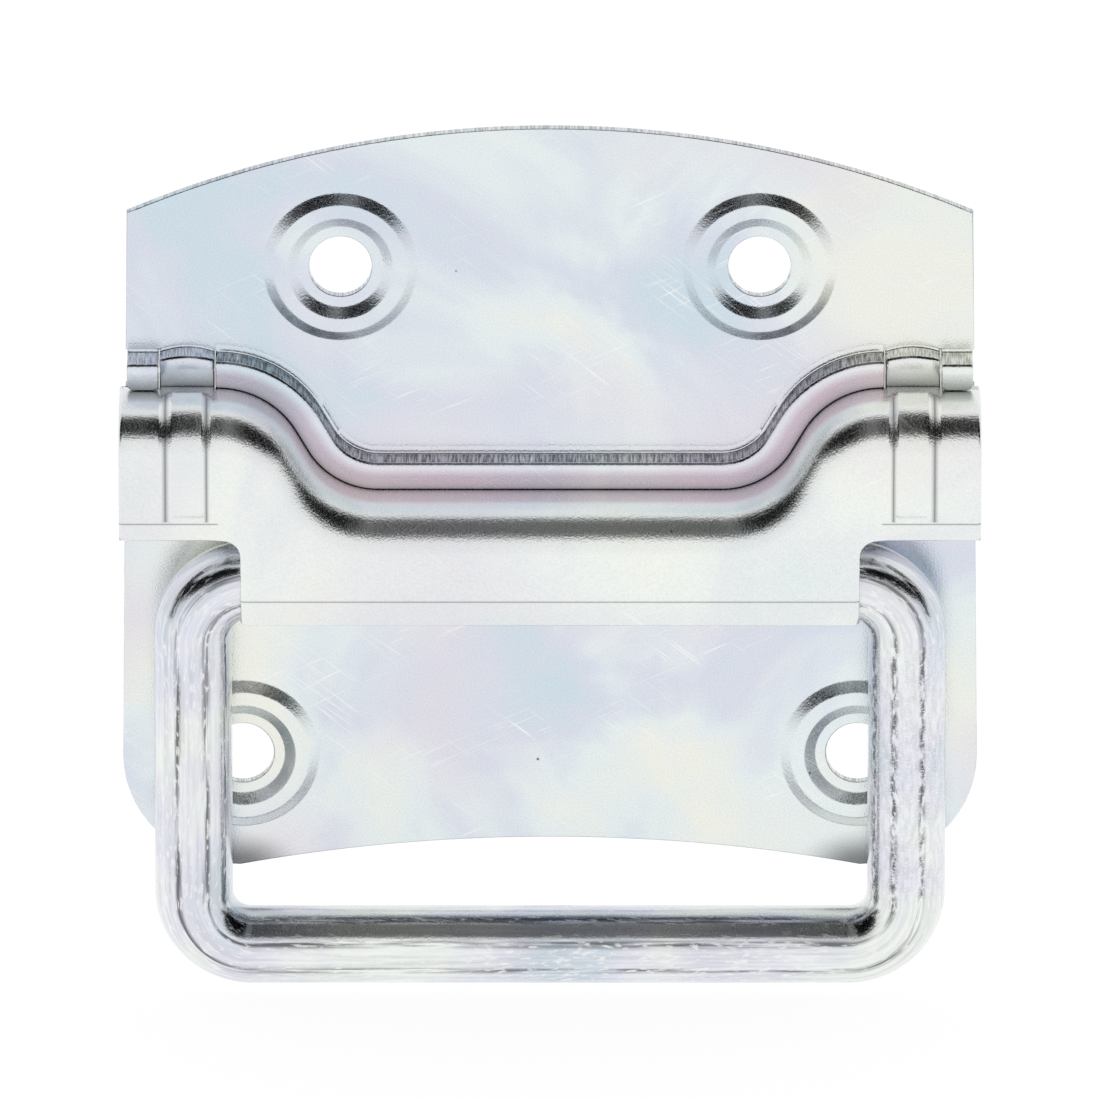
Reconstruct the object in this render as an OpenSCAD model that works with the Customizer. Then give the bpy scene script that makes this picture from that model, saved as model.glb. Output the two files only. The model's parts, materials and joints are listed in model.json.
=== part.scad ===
// Drop handle for the side of a chest, in bright zinc-plated steel.
// A pressed back plate carries a front cover, hooked behind a lip lanced out of the plate,
// and the bar of a bent rod bail turns in the channel between the two sheets.
// The plate stands upright with its back on the plane Y = 0 and its front towards -Y.
// Height zero lies midway between the two rows of screw holes.

/* [Back plate] */
// Thickness of the back plate's sheet
plate_t = 1.2; // [0.8:0.1:2]
// Width where the lower corners begin to turn
plate_w = 87.8; // [84:0.2:110]
// How much narrower the plate is across its upper corners
plate_taper = 1.4; // [0:0.1:3]
// Height of the upper corners above the middle of the screw rows
shoulder_h = 32.3; // [30:0.1:45]
// Rise of the arched top edge above the upper corners
arch_rise = 9.1; // [3:0.1:15]
// Depth of the lower corners below the middle of the screw rows
foot_h = 38.8; // [36:0.1:50]
// Radius of the lower corners
foot_r = 12; // [6:0.5:18]
// Rise of the hollowed bottom edge between the lower corners
hollow_rise = 3; // [1:0.1:6]

/* [Screw holes] */
// Diameter of each screw hole
hole_d = 6.4; // [4:0.1:7.4]
// Spacing of the upper pair
upper_spacing = 42.8; // [34:0.2:56]
// Spacing of the lower pair
lower_spacing = 63.2; // [50:0.2:66]
// Height from the lower pair to the upper pair
row_spacing = 53; // [50:0.5:58]
// Outer diameter of the pressed ring round a hole
ring_d = 16.2; // [15:0.1:17.5]
// Outer diameter of the ring's flat ridge
ridge_outer_d = 13.4; // [12:0.1:14.4]
// Inner diameter of the ring's flat ridge
ridge_inner_d = 11.2; // [9.6:0.1:11.8]
// Diameter of the flat land that the screw head seats on
land_d = 8.4; // [7.6:0.1:9.2]
// Height of the ridge above the plate
ring_h = 0.8; // [0.4:0.1:1.4]

/* [Seam between plate and cover] */
// Height of the cover's shelf at the middle of the handle
shelf_h = 3.2; // [1:0.1:6]
// Reach from the middle to where the shelf runs level again at its ends
seam_head_x = 34; // [33:0.1:34.6]
// Steepest slope of the seam's S bend
seam_angle = 60; // [40:1:70]
// Radius of the S bend's lower turn
seam_low_r = 8.3; // [7:0.1:10]
// Radius of the S bend's upper turn
seam_high_r = 9.2; // [8:0.1:10]
// Straight length between the two turns
seam_slant = 2.6; // [1:0.1:5]
// Level length of the lip beyond its S bends
lip_run = 0.2; // [0.1:0.1:0.6]
// Height of the lip's crest above the shelf
lip_crest = 2.95; // [2.6:0.05:4]
// Gap between the lip's cut edge and the shelf
lip_gap = 0.15; // [0.1:0.05:0.3]
// Gap left between sheets that are hooked together
seat_gap = 0.1; // [0.05:0.05:0.2]
// Height of the flange that hooks behind the lip
hook_h = 1; // [0.6:0.1:1.1]
// How far the slot left by the lip reaches below the shelf
slot_drop = 0.5; // [0.2:0.1:1.2]

/* [Bridges and end tabs] */
// Width of each bridge that keeps the plate whole beside the lip
bridge_w = 5.2; // [4:0.1:5.6]
// Radius along the crest of the lip, bridges and tabs
crest_r = 0.6; // [0.3:0.1:1]
// Radius in the corner where they leave the plate
root_r = 0.3; // [0.2:0.05:0.4]
// Cut between a bridge and its neighbours
lance_gap = 0.3; // [0.2:0.05:0.5]
// How far a bridge stands out of the plate
bridge_lift = 1.8; // [1.5:0.1:2.2]
// Height of a bridge's crest above the shelf
bridge_crest = 3.5; // [3.4:0.1:5]
// How far a bridge reaches down behind the shelf
bridge_drop = 3.5; // [2.5:0.1:5]
// Setback of an end tab from the plate's side
tab_inset = 0.2; // [0.1:0.05:0.4]

/* [Front cover] */
// Thickness of the cover's sheet
cover_t = 1.2; // [0.8:0.1:1.6]
// How far the cover stands past the plate's widest place at either end
cover_overhang = 0.1; // [0:0.05:0.5]
// Outer radius of the fold from shelf to face
fold_r = 4.7; // [3:0.1:5.5]
// Gap above the bail's bar at which an ear ends
ear_gap = 1.3; // [0.8:0.1:3]
// Depth of the rolled edge under an ear
ear_roll = 1.9; // [1:0.1:2.5]
// How far the flap reaches below the bail's pivot
flap_drop = 3.9; // [2:0.1:5]
// Depth of the rolled edge under the flap
flap_roll = 2.6; // [1:0.1:3]
// Radius to which the lower edges are rolled in
roll_r = 6; // [4:0.5:10]
// Radius in the corner between ear and flap
notch_r = 1.6; // [0.8:0.1:2.4]

/* [Ear beads] */
// Distance of each bead from the middle of the handle
bead_x = 37.2; // [36:0.1:39]
// Width of a bead at its foot
bead_base_w = 5.4; // [4:0.1:7]
// Width of a bead's flat top
bead_top_w = 2.9; // [2:0.1:3.4]
// Height of a bead above the cover
bead_h = 0.7; // [0.4:0.1:1]
// How far a bead runs back over the shelf
bead_back = 1.2; // [0.5:0.1:2]

/* [Bail] */
// Diameter of the bail's rod
rod_d = 8; // [6:0.1:9]
// Spacing of the bail's two legs
leg_spacing = 73.2; // [71:0.2:76]
// Distance from the pivot down to the middle of the grip
bail_drop = 40; // [34:0.5:70]
// Radius of the bail's bends at the middle of the rod
bend_r = 6; // [5.5:0.1:7.5]
// Depth of the pivot below the shelf
pivot_drop = 8.8; // [8.2:0.1:12]
// Gap between the hanging bail and the screw rings
rest_gap = 0.3; // [0.2:0.05:1]
// Gap between the bail's bar and the inside of the cover
bar_gap = 0.6; // [0.4:0.05:1.2]
// Gap between the swinging bends and the sides of the flap
bend_gap = 0.3; // [0.2:0.05:0.4]

/* [Hidden] */
$fn = 96;

// Depths from the wall, which grow towards the front
pivot_z = plate_t + ring_h + rest_gap + rod_d / 2;
face_z = pivot_z + rod_d / 2 + bar_gap + cover_t;
hook_z = plate_t + seat_gap;
lip_z = hook_z + cover_t + seat_gap;

// The S-shaped seam line, along the top of the cover's shelf
seam_rise = (seam_low_r + seam_high_r) * (1 - cos(seam_angle)) + seam_slant * sin(seam_angle);
seam_run = (seam_low_r + seam_high_r) * sin(seam_angle) + seam_slant * cos(seam_angle);
seam_foot_x = seam_head_x - seam_run;
end_h = shelf_h + seam_rise;
low_center = [seam_foot_x, shelf_h + seam_low_r];
high_center = [seam_head_x, end_h - seam_high_r];

// Heights of the pivot and of what hangs by it
pivot_y = shelf_h - pivot_drop;
ear_y = pivot_y + rod_d / 2 + ear_gap;
flap_y = pivot_y - flap_drop;

// The flap is as wide as the bail's bends let it be when they swing past its sides
leg_x = leg_spacing / 2;
inner_bend_r = bend_r - rod_d / 2;
flap_x = leg_x - bend_r + sqrt(pow(inner_bend_r, 2) - pow(inner_bend_r - bar_gap + bend_gap, 2));
cover_x = plate_w / 2 + cover_overhang;

// Places along the seam's level ends
lip_x = seam_head_x + lip_run;
bridge_x = lip_x + lance_gap;
tab_x = bridge_x + bridge_w + lance_gap;

// Overlaps that join a bend to the flat sheet beyond it, and the reach of plain cutting shapes
skirt = 0.6;
root_lap = 0.06;
beyond = 100;
// Steps in a wide bend and in a tight one that are drawn point by point
arc_steps = 8;
bend_steps = 4;

// Half the plate's width at a height, along its slightly sloping sides
function plate_x(y) =
    let (foot_start = foot_r - foot_h)
    (plate_w - plate_taper * (y - foot_start) / (shoulder_h - foot_start)) / 2;

tab_end_x = plate_x(end_h) - tab_inset;

// Radius of an arc from its half chord and its rise
function arc_r(half_chord, rise) = (pow(half_chord, 2) + pow(rise, 2)) / (2 * rise);

// A smooth step from 0 to 1
function ease(u) = (1 - cos(180 * u)) / 2;

// Turns a shape drawn face on, with its depth along z, to stand against the wall
module stand() {
    rotate([90, 0, 0]) children();
}

module both_sides() {
    children();
    mirror([1, 0, 0]) children();
}

// Points on an arc, from one angle to another
function arc(center, r, from, to, steps) =
    [for (i = [0 : steps])
        let (angle = from + (to - from) * i / steps)
        center + r * [cos(angle), sin(angle)]];

// Runs a section straight across, from one x to another, at a height.
// The section's x is its height above the seam line and its y is its depth from the wall.
module along_level(from, to, height) {
    translate([from, height, 0]) rotate([90, 0, 90]) linear_extrude(to - from) children();
}

// Stations along half of the seam line, each a point and the direction up from the line
function half_seam(end_x) = concat(
    [for (i = [0 : arc_steps])
        let (angle = seam_angle * i / arc_steps, up = [-sin(angle), cos(angle)])
        [low_center - seam_low_r * up, up]],
    [for (i = [arc_steps : -1 : 0])
        let (angle = seam_angle * i / arc_steps, up = [-sin(angle), cos(angle)])
        [high_center + seam_high_r * up, up]],
    [[[end_x, end_h], [0, 1]]]);

function flip(v) = [-v[0], v[1]];

function seam(end_x) =
    let (right = half_seam(end_x), last = len(right) - 1)
    concat([for (i = [last : -1 : 0]) [flip(right[i][0]), flip(right[i][1])]], right);

// The seam line raised or lowered to one side of itself
function beside_seam(end_x, offset) = [for (station = seam(end_x)) station[0] + offset * station[1]];

// Sheet that keeps one section all along the seam
module along_seam(end_x, section) {
    stations = seam(end_x);
    count = len(section);
    last = len(stations) - 1;
    points = [for (station = stations, corner = section)
        let (place = station[0] + corner[0] * station[1])
        [place[0], place[1], corner[1]]];
    sides = [for (i = [0 : last - 1], j = [0 : count - 1])
        let (next = (j + 1) % count)
        [i * count + j, i * count + next, (i + 1) * count + next, (i + 1) * count + j]];
    start = [[for (j = [count - 1 : -1 : 0]) j]];
    end = [[for (j = [0 : count - 1]) last * count + j]];
    polyhedron(points, concat(start, sides, end));
}

// Outline of the area below the seam line, down to a floor
module below_seam(end_x, offset, floor_y) {
    polygon(concat(beside_seam(end_x, offset), [[end_x, floor_y], [-end_x, floor_y]]));
}

// Outline of a band along the seam, between two heights beside it
module seam_band(end_x, low, top) {
    upper = beside_seam(end_x, top);
    lower = beside_seam(end_x, low);
    polygon(concat(upper, [for (i = [len(lower) - 1 : -1 : 0]) lower[i]]));
}

// Section of plate sheet stepped out to a depth, from its root inside the plate down to its lower end
function stepped_sheet(depth, low, crest) =
    let (crest_center = [crest - crest_r, depth + plate_t - crest_r],
         root_center = [crest + root_r, plate_t + root_r],
         root = crest + root_r + skirt)
    concat(
        [[low, depth], [low, depth + plate_t]],
        arc(crest_center, crest_r, 90, 0, bend_steps),
        arc(root_center, root_r, 180, 270, bend_steps),
        [[root, plate_t * 2 / 3], [root, plate_t / 3]],
        arc(root_center, root_r + plate_t, 270, 180, bend_steps),
        [[crest - plate_t, depth]]);

// Hole that sheet stepped out to a depth leaves in the plate, a little short of the bend at its root
module step_slot(from, to, low, crest) {
    top = crest + root_r - root_lap;
    translate([from, end_h + low, -plate_t]) cube([to - from, top - low, 3 * plate_t]);
}

// Height of the pressed ring above the plate, at a distance from the screw's axis
function ring_height(r) =
    r <= land_d / 2 ? 0
    : r < ridge_inner_d / 2 ? ring_h * ease((2 * r - land_d) / (ridge_inner_d - land_d))
    : r <= ridge_outer_d / 2 ? ring_h
    : ring_h * (1 - ease((2 * r - ridge_outer_d) / (ring_d - ridge_outer_d)));

// Pressed ring round a screw hole, one sheet thick all over
module screw_ring() {
    steps = 4;
    radii = concat(
        [hole_d / 2],
        [for (i = [0 : steps]) (land_d + (ridge_inner_d - land_d) * i / steps) / 2],
        [for (i = [0 : steps]) (ridge_outer_d + (ring_d - ridge_outer_d) * i / steps) / 2]);
    last = len(radii) - 1;
    front = [for (r = radii) [r, plate_t + ring_height(r)]];
    back = [for (i = [last : -1 : 0]) [radii[i], ring_height(radii[i])]];
    rotate_extrude() polygon(concat(front, back));
}

module at_screws() {
    for (side = [-1, 1]) {
        translate([side * upper_spacing / 2, row_spacing / 2, 0]) children();
        translate([side * lower_spacing / 2, -row_spacing / 2, 0]) children();
    }
}

module plate_outline() {
    foot_start = foot_r - foot_h;
    foot_x = plate_w / 2 - foot_r;
    arch = arc_r(plate_x(shoulder_h), arch_rise);
    hollow = arc_r(foot_x, hollow_rise);
    intersection() {
        polygon([[-plate_x(foot_start), foot_start], [plate_x(foot_start), foot_start],
                 [plate_x(shoulder_h), shoulder_h], [plate_x(shoulder_h), shoulder_h + arch_rise],
                 [-plate_x(shoulder_h), shoulder_h + arch_rise], [-plate_x(shoulder_h), shoulder_h]]);
        translate([0, shoulder_h + arch_rise - arch]) circle(arch, $fn = 4 * $fn);
    }
    difference() {
        union() {
            translate([-foot_x, -foot_h]) square([2 * foot_x, foot_r]);
            for (side = [-1, 1]) translate([side * foot_x, foot_start]) intersection() {
                circle(foot_r);
                translate([-foot_r, -foot_r]) square([2 * foot_r, foot_r]);
            }
        }
        translate([0, hollow_rise - foot_h - hollow]) circle(hollow, $fn = 4 * $fn);
    }
}

// Flat sheet with its screw rings, the slots of the seam, and the lip, bridges and tabs
module back_plate() {
    lip = stepped_sheet(lip_z, lip_gap, lip_crest);
    slot_top = lip_crest + root_r - root_lap;
    bridge_foot = bridge_drop - root_r + root_lap;
    color([0.80, 0.84, 0.87]) stand() {
        difference() {
            linear_extrude(plate_t) plate_outline();
            at_screws() translate([0, 0, -plate_t]) cylinder(3 * plate_t, d = ring_d);
            translate([0, 0, -plate_t]) linear_extrude(3 * plate_t)
                seam_band(bridge_x, -slot_drop, slot_top);
            both_sides() {
                step_slot(lip_x, tab_x, -bridge_drop, bridge_crest);
                step_slot(tab_x - lance_gap, beyond, -slot_drop, lip_crest);
            }
        }
        at_screws() screw_ring();
        along_seam(lip_x, lip);
        both_sides() {
            along_level(tab_x, tab_end_x, end_h) polygon(lip);
            along_level(bridge_x, bridge_x + bridge_w, end_h) {
                polygon(stepped_sheet(bridge_lift, -skirt, bridge_crest));
                mirror([1, 0]) polygon(stepped_sheet(bridge_lift, -skirt, bridge_foot));
            }
        }
    }
}

// Section of the cover from the hooked flange over the shelf and its fold to a root inside the face
function cover_section() =
    let (fold_center = [-fold_r, face_z - fold_r])
    concat(
        [[0, hook_z + cover_t], [hook_h, hook_z + cover_t], [hook_h, hook_z], [-cover_t, hook_z]],
        arc(fold_center, fold_r - cover_t, 0, 90, arc_steps),
        [[-fold_r - skirt, face_z - cover_t * 2 / 3], [-fold_r - skirt, face_z - cover_t / 3]],
        arc(fold_center, fold_r, 90, 0, arc_steps));

// Lower edge of the cover, rolled in towards the plate
module rolled_edge(from, to, top, depth) {
    translate([from, top, face_z - roll_r]) rotate([90, 0, 90]) linear_extrude(to - from) intersection() {
        difference() {
            circle(roll_r);
            circle(roll_r - cover_t);
        }
        translate([-depth, 0]) square([depth, roll_r]);
    }
}

// Section of a bead, whose flanks run on a little into the sheet that carries it
module bead_section(base_w, top_w, height, sink) {
    foot_w = base_w + (base_w - top_w) * sink / height;
    polygon([[-foot_w / 2, -sink], [foot_w / 2, -sink], [top_w / 2, height], [-top_w / 2, height]]);
}

// A bead from the shelf over the fold and down the ear, where it runs out at a slope
module ear_bead(depth, base_w, top_w, sink) {
    fold_y = end_h - fold_r;
    foot_y = ear_y + ear_roll + skirt / 2;
    radius = fold_r - depth;
    difference() {
        translate([bead_x, 0, 0]) {
            translate([0, fold_y, face_z - depth]) rotate([90, 0, 0]) linear_extrude(fold_y - foot_y)
                bead_section(base_w, top_w, bead_h, sink);
            translate([0, fold_y, face_z - fold_r]) rotate([0, -90, 0]) rotate_extrude(angle = 90)
                translate([radius, 0]) rotate(-90) bead_section(base_w, top_w, bead_h, sink);
            translate([0, end_h - depth, face_z - fold_r - bead_back]) linear_extrude(bead_back)
                bead_section(base_w, top_w, bead_h, sink);
        }
        translate([bead_x - base_w, foot_y, face_z - depth]) rotate([-45, 0, 0])
            translate([0, -base_w, 0]) cube([2 * base_w, base_w, base_w]);
    }
}

// Folded sheet that hides the bail's bar, with an ear at each end and a flap between them
module front_cover() {
    ear_top = ear_y + ear_roll;
    flap_top = flap_y + flap_roll;
    bead_sink = cover_t / 3;
    color([0.84, 0.86, 0.84]) stand() difference() {
        union() {
            along_seam(cover_x + 2 * skirt, cover_section());
            both_sides() {
                rolled_edge(flap_x, cover_x + skirt, ear_top, ear_roll);
                translate([flap_x, ear_y - notch_r, face_z - cover_t]) linear_extrude(cover_t) difference() {
                    square([notch_r, notch_r + ear_roll / 2]);
                    translate([notch_r, 0]) circle(notch_r);
                }
                ear_bead(0, bead_base_w, bead_top_w, bead_sink);
            }
            translate([0, 0, face_z - cover_t]) linear_extrude(cover_t) difference() {
                below_seam(cover_x + skirt, root_lap - fold_r, flap_top);
                both_sides() translate([flap_x, flap_top - beyond]) square([beyond, beyond + ear_top - flap_top]);
            }
            rolled_edge(-flap_x, flap_x, flap_top, flap_roll);
        }
        both_sides() {
            ear_bead(cover_t, bead_base_w - cover_t, bead_top_w - cover_t / 2, bead_sink);
            translate([cover_x, -beyond, -beyond]) cube(2 * beyond);
            translate([lip_x, end_h - bridge_drop, 0])
                cube([bridge_w + 2 * lance_gap, bridge_drop + hook_h + seat_gap,
                      bridge_lift + plate_t + lance_gap]);
        }
    }
}

// Round rod bent to a closed rectangle, its top bar lying on the pivot's axis
module bail() {
    bar = 2 * (leg_x - bend_r);
    leg = bail_drop - 2 * bend_r;
    color([0.76, 0.77, 0.80]) stand() translate([0, pivot_y, pivot_z]) {
        for (y = [0, -bail_drop])
            translate([-bar / 2, y, 0]) rotate([0, 90, 0]) cylinder(bar, d = rod_d);
        for (side = [-1, 1])
            translate([side * leg_x, -bend_r, 0]) rotate([90, 0, 0]) cylinder(leg, d = rod_d);
        both_sides() {
            translate([bar / 2, -bend_r, 0]) rotate_extrude(angle = 90)
                translate([bend_r, 0]) circle(d = rod_d);
            translate([bar / 2, bend_r - bail_drop, 0]) rotate(-90) rotate_extrude(angle = 90)
                translate([bend_r, 0]) circle(d = rod_d);
        }
    }
}

back_plate();
front_cover();
bail();
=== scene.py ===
import json
import math

import bmesh
import bpy
from mathutils import Euler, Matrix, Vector
from mathutils.geometry import delaunay_2d_cdt

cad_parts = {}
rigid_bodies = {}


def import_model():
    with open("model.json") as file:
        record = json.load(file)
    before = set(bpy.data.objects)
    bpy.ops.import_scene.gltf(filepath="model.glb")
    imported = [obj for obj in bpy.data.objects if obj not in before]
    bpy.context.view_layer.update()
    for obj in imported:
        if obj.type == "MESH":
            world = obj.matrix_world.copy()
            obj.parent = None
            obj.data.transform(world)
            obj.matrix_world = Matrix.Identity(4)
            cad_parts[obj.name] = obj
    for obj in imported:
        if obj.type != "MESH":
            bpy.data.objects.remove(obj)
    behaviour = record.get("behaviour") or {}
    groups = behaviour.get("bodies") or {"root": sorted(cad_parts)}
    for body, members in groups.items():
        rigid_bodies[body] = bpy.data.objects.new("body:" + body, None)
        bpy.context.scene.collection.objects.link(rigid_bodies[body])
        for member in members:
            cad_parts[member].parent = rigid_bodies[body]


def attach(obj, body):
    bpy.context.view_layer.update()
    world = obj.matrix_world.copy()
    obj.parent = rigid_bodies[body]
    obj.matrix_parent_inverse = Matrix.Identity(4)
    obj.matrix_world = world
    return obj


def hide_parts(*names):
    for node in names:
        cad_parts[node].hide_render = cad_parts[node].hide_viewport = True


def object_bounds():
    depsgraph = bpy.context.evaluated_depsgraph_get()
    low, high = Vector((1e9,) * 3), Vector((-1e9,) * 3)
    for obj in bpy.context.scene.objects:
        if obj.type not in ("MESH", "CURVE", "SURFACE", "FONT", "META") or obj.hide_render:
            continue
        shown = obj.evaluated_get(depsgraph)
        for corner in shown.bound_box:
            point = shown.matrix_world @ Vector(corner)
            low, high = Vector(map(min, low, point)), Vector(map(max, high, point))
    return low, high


bpy.ops.object.select_all(action="SELECT")
bpy.ops.object.delete()
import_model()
cad_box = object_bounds()
scene = bpy.context.scene
MM = 0.001

# Back plate
# One blank of 1.2 mm mild steel sheet, with four screw rings pressed into it and a lip, two
# bridges and two tabs lanced out of it along an S line. It was zinc plated after pressing.
SHEET = 1.2
EDGE_BREAK = 0.17
PLATE_TOP_HALF = 43.2
PLATE_FOOT_HALF = 43.9
SHOULDER = 32.3
ARCH_RISE = 9.1
FOOT = -38.8
FOOT_R = 12.0
HOLLOW_RISE = 3.0
SCREWS = [(-21.4, 26.5), (21.4, 26.5), (-31.6, -26.5), (31.6, -26.5)]
HOLE_R = 3.2
LAND_MID_R = 3.7
LAND_R = 4.2
RIDGE_IN_R = 5.6
RIDGE_OUT_R = 6.7
RING_R = 8.1
RING_RISE = 0.8
RING_STEPS = 64
SEAM_HEAD = 34.0
SEAM_SHELF = 3.2
SEAM_ANGLE = 60.0
SEAM_LOW_R = 8.3
SEAM_HIGH_R = 9.2
SEAM_SLANT = 2.6
SEAM_STEPS = 20
LIP_END = 34.2
LIP_DEPTH = 2.6
LIP_CREST = 2.95
LIP_EDGE = 0.03
CREST_R = 0.6
ROOT_R = 0.3
ROOT_BEND = 0.6
ROOT_LAP = 0.6
LANCE_GAP = 0.3
SLOT_FLOOR = -0.5
BRIDGE_WIDTH = 5.2
BRIDGE_SPREAD = 0.22
BRIDGE_DEPTH = 1.8
BRIDGE_CREST = 3.5
BRIDGE_ARCH = BRIDGE_CREST - LIP_CREST
BRIDGE_FOOT = 3.2
BRIDGE_BOW = 0.5
BOW_LOW = 0.2
BOW_HIGH = 2.2
BRIDGE_STEPS = 8
TAB_INSET = 0.2
TAB_EDGE = 0.06
TAB_FORWARD = 0.9
TAB_CORNER = 0.6
TAB_MIDDLE = 41.5
WELD = 0.004

bridge_start = LIP_END + LANCE_GAP
bridge_end = bridge_start + BRIDGE_WIDTH
tab_start = bridge_end + LANCE_GAP
sine, cosine = math.sin(math.radians(SEAM_ANGLE)), math.cos(math.radians(SEAM_ANGLE))
seam_foot = SEAM_HEAD - (SEAM_LOW_R + SEAM_HIGH_R) * sine - SEAM_SLANT * cosine
seam_top = SEAM_SHELF + (SEAM_LOW_R + SEAM_HIGH_R) * (1 - cosine) + SEAM_SLANT * sine
foot_start = FOOT + FOOT_R


def at(x, z, depth):
    """A point drawn face on in mm, with its depth from the wall, in the frame of the part."""
    return Vector((x, -depth, z)) * MM


def arc(x, z, radius, start, end, steps):
    """Points along an arc, its angles in degrees."""
    turns = [math.radians(start + (end - start) * i / steps) for i in range(steps + 1)]
    return [(x + radius * math.cos(t), z + radius * math.sin(t)) for t in turns]


def seam(*ends):
    """Points along the seam line and the way up from it, with further points out on its level ends."""
    half = []
    for i in range(SEAM_STEPS + 1):
        t = math.radians(SEAM_ANGLE * i / SEAM_STEPS)
        half.append((seam_foot + SEAM_LOW_R * math.sin(t),
                     SEAM_SHELF + SEAM_LOW_R * (1 - math.cos(t)), -math.sin(t), math.cos(t)))
    for i in range(SEAM_STEPS, -1, -1):
        t = math.radians(SEAM_ANGLE * i / SEAM_STEPS)
        half.append((SEAM_HEAD - SEAM_HIGH_R * math.sin(t),
                     seam_top - SEAM_HIGH_R * (1 - math.cos(t)), -math.sin(t), math.cos(t)))
    half += [(x, seam_top, 0.0, 1.0) for x in ends]
    level = [seam_foot * i / 6 for i in range(-5, 6)]
    return ([(-x, z, -u, v) for x, z, u, v in reversed(half)]
            + [(x, SEAM_SHELF, 0.0, 1.0) for x in level] + half)


def beside(line, rise):
    """A line moved to one side of itself, as flat points."""
    return [(x + rise * u, z + rise * v) for x, z, u, v in line]


def stepped(depth, crest, edge):
    """Section of sheet that steps out of the plate to a depth and hangs down to an edge."""
    root = crest + ROOT_R
    face = crest - CREST_R - edge
    return ([(edge, depth), (edge, depth + SHEET)]
            + [(edge + face * k / 4, depth + SHEET) for k in (1, 2, 3)]
            + arc(crest - CREST_R, depth + SHEET - CREST_R, CREST_R, 90, 0, 8)
            + arc(root, SHEET + ROOT_R, ROOT_R, 180, 270, 5)
            + [(root + ROOT_LAP, SHEET * 2 / 3), (root + ROOT_LAP, SHEET / 3)]
            + arc(root, SHEET + ROOT_R, ROOT_R + SHEET, 270, 180, 6) + [(crest - SHEET, depth)])


def add_rows(form, rows, closed=False, skip=(), capped=False):
    """Joins rows of points with faces, leaving out those that are named by row and column."""
    made = [[form.verts.new(point) for point in row] for row in rows]
    for i, (low, high) in enumerate(zip(made, made[1:])):
        for j in range(len(low) - (not closed)):
            if (i, j) not in skip:
                k = (j + 1) % len(low)
                form.faces.new((low[j], low[k], high[k], high[j]))
    if capped:
        form.faces.new(made[0])
        form.faces.new(made[-1])


def fill_flat(form, loops, extra, depth, inside):
    """Fills loops of flat points with triangles that also pass through the extra points."""
    points, edges = [], []
    for loop in loops:
        first = len(points)
        points += loop
        edges += [(first + i, first + (i + 1) % len(loop)) for i in range(len(loop))]
    found, _, faces, *_ = delaunay_2d_cdt([Vector(p) for p in points + extra], edges, [], 1, 1e-4)
    verts = [form.verts.new(at(x, z, depth(x, z))) for x, z in found]
    for face in faces:
        middle = sum((found[i] for i in face), Vector((0.0, 0.0))) / len(face)
        if inside(*middle):
            form.faces.new([verts[i] for i in face])


def finished(name, form, modifiers):
    """Welds a form's rows together, faces it outwards, and finishes it as a plain mesh piece."""
    bmesh.ops.remove_doubles(form, verts=form.verts, dist=WELD * MM)
    bmesh.ops.delete(form, geom=[v for v in form.verts if not v.link_faces], context="VERTS")
    bmesh.ops.recalc_face_normals(form, faces=form.faces)
    form.normal_update()
    if sum(f.normal.y * f.calc_area() for f in form.faces) > 1e-9:
        bmesh.ops.reverse_faces(form, faces=form.faces)
    for face in form.faces:
        face.smooth = True
    rough = bpy.data.meshes.new(name + "_rough")
    form.to_mesh(rough)
    form.free()
    piece = bpy.data.objects.new(name, rough)
    scene.collection.objects.link(piece)
    for kind, settings in modifiers:
        modifier = piece.modifiers.new(kind.lower(), kind)
        for key, value in settings.items():
            setattr(modifier, key, value)
    ready = piece.evaluated_get(bpy.context.evaluated_depsgraph_get())
    piece.data = bpy.data.meshes.new_from_object(ready)
    piece.modifiers.clear()
    return piece


edge_break = {"width": EDGE_BREAK * MM, "segments": 2, "angle_limit": math.radians(55),
              "use_clamp_overlap": False, "harden_normals": True}


def pressed(name, form, rounding, runs_on=()):
    """A piece of sheet from its front skin: thickness added behind it, and its cut edges rounded.
    Along the flat points where it runs on into another form it has no cut edge."""
    uncut = {(round(x, 2), round(z, 2)) for x, z in runs_on}
    skin = finished(name + "_skin", form, [])
    skin_faces = len(skin.data.polygons)
    form = bmesh.new()
    form.from_mesh(skin.data)
    bpy.data.objects.remove(skin)
    thick = finished(name + "_thick", form, [
        ("SOLIDIFY", {"thickness": SHEET * MM, "offset": -1.0, "use_quality_normals": True})])
    form = bmesh.new()
    form.from_mesh(thick.data)
    bpy.data.objects.remove(thick)
    cut = set(list(form.faces)[2 * skin_faces:])
    weight = form.edges.layers.float.new("bevel_weight_edge")
    for edge in form.edges:
        ends = [(round(v.co.x / MM, 2), round(v.co.z / MM, 2)) for v in edge.verts]
        edge.smooth = not uncut.issuperset(ends)
        edge[weight] = float(edge.smooth and len(cut.intersection(edge.link_faces)) == 1)
    return finished(name, form, [("BEVEL", dict(edge_break, limit_method="WEIGHT", **rounding))])


def plate_half(z):
    """Half the plate's width at a height, along its slightly sloping sides."""
    lean = (PLATE_TOP_HALF - PLATE_FOOT_HALF) / (SHOULDER - foot_start)
    return PLATE_FOOT_HALF + lean * (z - foot_start)


def mirrored(half):
    """A loop from its right half, which starts and ends near the middle."""
    return half + [(-x, z) for x, z in reversed(half) if abs(x) > 1e-6]


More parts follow.
